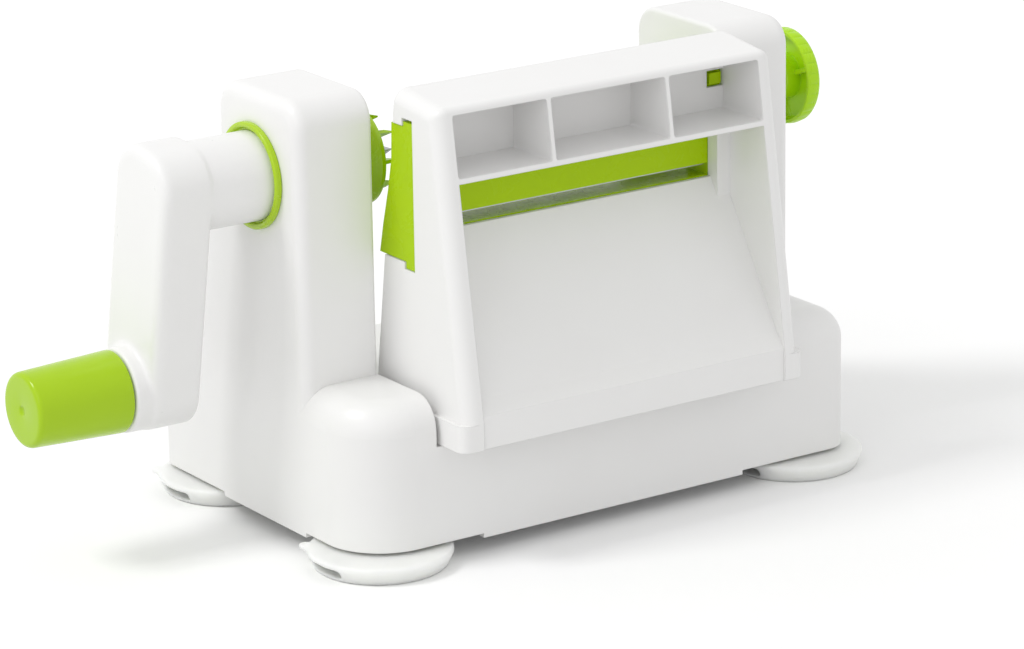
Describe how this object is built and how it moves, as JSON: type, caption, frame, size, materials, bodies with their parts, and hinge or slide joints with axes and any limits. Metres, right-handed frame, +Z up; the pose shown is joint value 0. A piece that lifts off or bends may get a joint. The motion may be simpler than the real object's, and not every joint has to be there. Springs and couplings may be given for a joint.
{
  "type": "vegetable sheet slicer",
  "caption": "Hand cranked slicer that turns a vegetable between two toothed chucks against a long blade and peels it into one thin sheet.",
  "frame": {"origin": "centre of the bounding box in X and Y, at the plane the suction feet stand on", "axes": "+X runs from the crank to the tail knob along the spindle axis, +Y from the blade frame to the open back, +Z up"},
  "size_m": [0.3144, 0.1518, 0.16],
  "materials": {
    "white_shell": "smooth moulded, soft gloss",
    "white_drive": "smooth moulded, soft gloss",
    "white_frame": "smooth moulded, soft gloss",
    "cover_plastic": "fine moulded texture",
    "green_trim": "smooth moulded, soft gloss",
    "green_grip": "fine satin",
    "green_knob": "smooth moulded, soft gloss",
    "white_grip_pin": "smooth moulded",
    "white_nut": "smooth moulded",
    "white_spindle": "smooth moulded",
    "foot_rubber": "soft, slightly translucent white",
    "screw_steel": "plain steel, cross recess",
    "spike_steel": "polished stainless steel",
    "blade_steel": "ground stainless steel",
    "washer_plastic": "low friction plastic"
  },
  "bodies": {
    "base": {"base_housing": "white_shell", "bottom_cover": "cover_plastic", "cover_screws": "screw_steel", "foot_front_left": "foot_rubber", "foot_front_right": "foot_rubber", "foot_rear_left": "foot_rubber", "foot_rear_right": "foot_rubber", "drive_bush": "green_trim", "tail_nut": "white_nut"},
    "crank": {"crank_arm": "white_drive", "drive_shaft": "white_drive", "drive_washer": "washer_plastic", "drive_chuck": "green_trim", "drive_spike": "spike_steel", "grip_pin": "white_grip_pin"},
    "grip": {"handle_grip": "green_grip"},
    "tail_slide": {"tail_washer": "washer_plastic"},
    "tail_screw": {"tail_spindle": "white_spindle", "tail_knob": "green_knob", "knob_screw": "screw_steel", "tail_chuck_screw": "screw_steel"},
    "tail_head": {"tail_chuck": "green_trim"},
    "carriage": {"blade_frame": "white_frame", "blade_cassette": "green_trim", "cutting_blade": "blade_steel", "blade_screws": "screw_steel"}
  },
  "joints": [
    {"name": "crank_turn", "type": "hinge", "parent": "base", "child": "crank", "pos_m": [-0.0719, 0.0013, 0.128], "axis": [1, 0, 0], "continuous": true},
    {"name": "grip_turn", "type": "hinge", "parent": "crank", "child": "grip", "pos_m": [-0.139, 0.01435, 0.0576], "axis": [1, 0, 0], "continuous": true},
    {"name": "tail_travel", "type": "slide", "parent": "base", "child": "tail_slide", "axis": [1, 0, 0], "range_m": [-0.011, 0.001]},
    {"name": "tail_screw_turn", "type": "hinge", "parent": "tail_slide", "child": "tail_screw", "pos_m": [0.12, 0.0013, 0.128], "axis": [1, 0, 0], "range_deg": [-990, 90]},
    {"name": "tail_head_turn", "type": "hinge", "parent": "tail_slide", "child": "tail_head", "pos_m": [0.09, 0.0013, 0.128], "axis": [1, 0, 0], "continuous": true},
    {"name": "carriage_travel", "type": "slide", "parent": "base", "child": "carriage", "axis": [0, 1, 0], "range_m": [-0.012, 0.012]}
  ],
  "couplings": [
    {"joint": "tail_travel", "follows": "tail_screw_turn", "m_per_rad": 0.00063662}
  ]
}
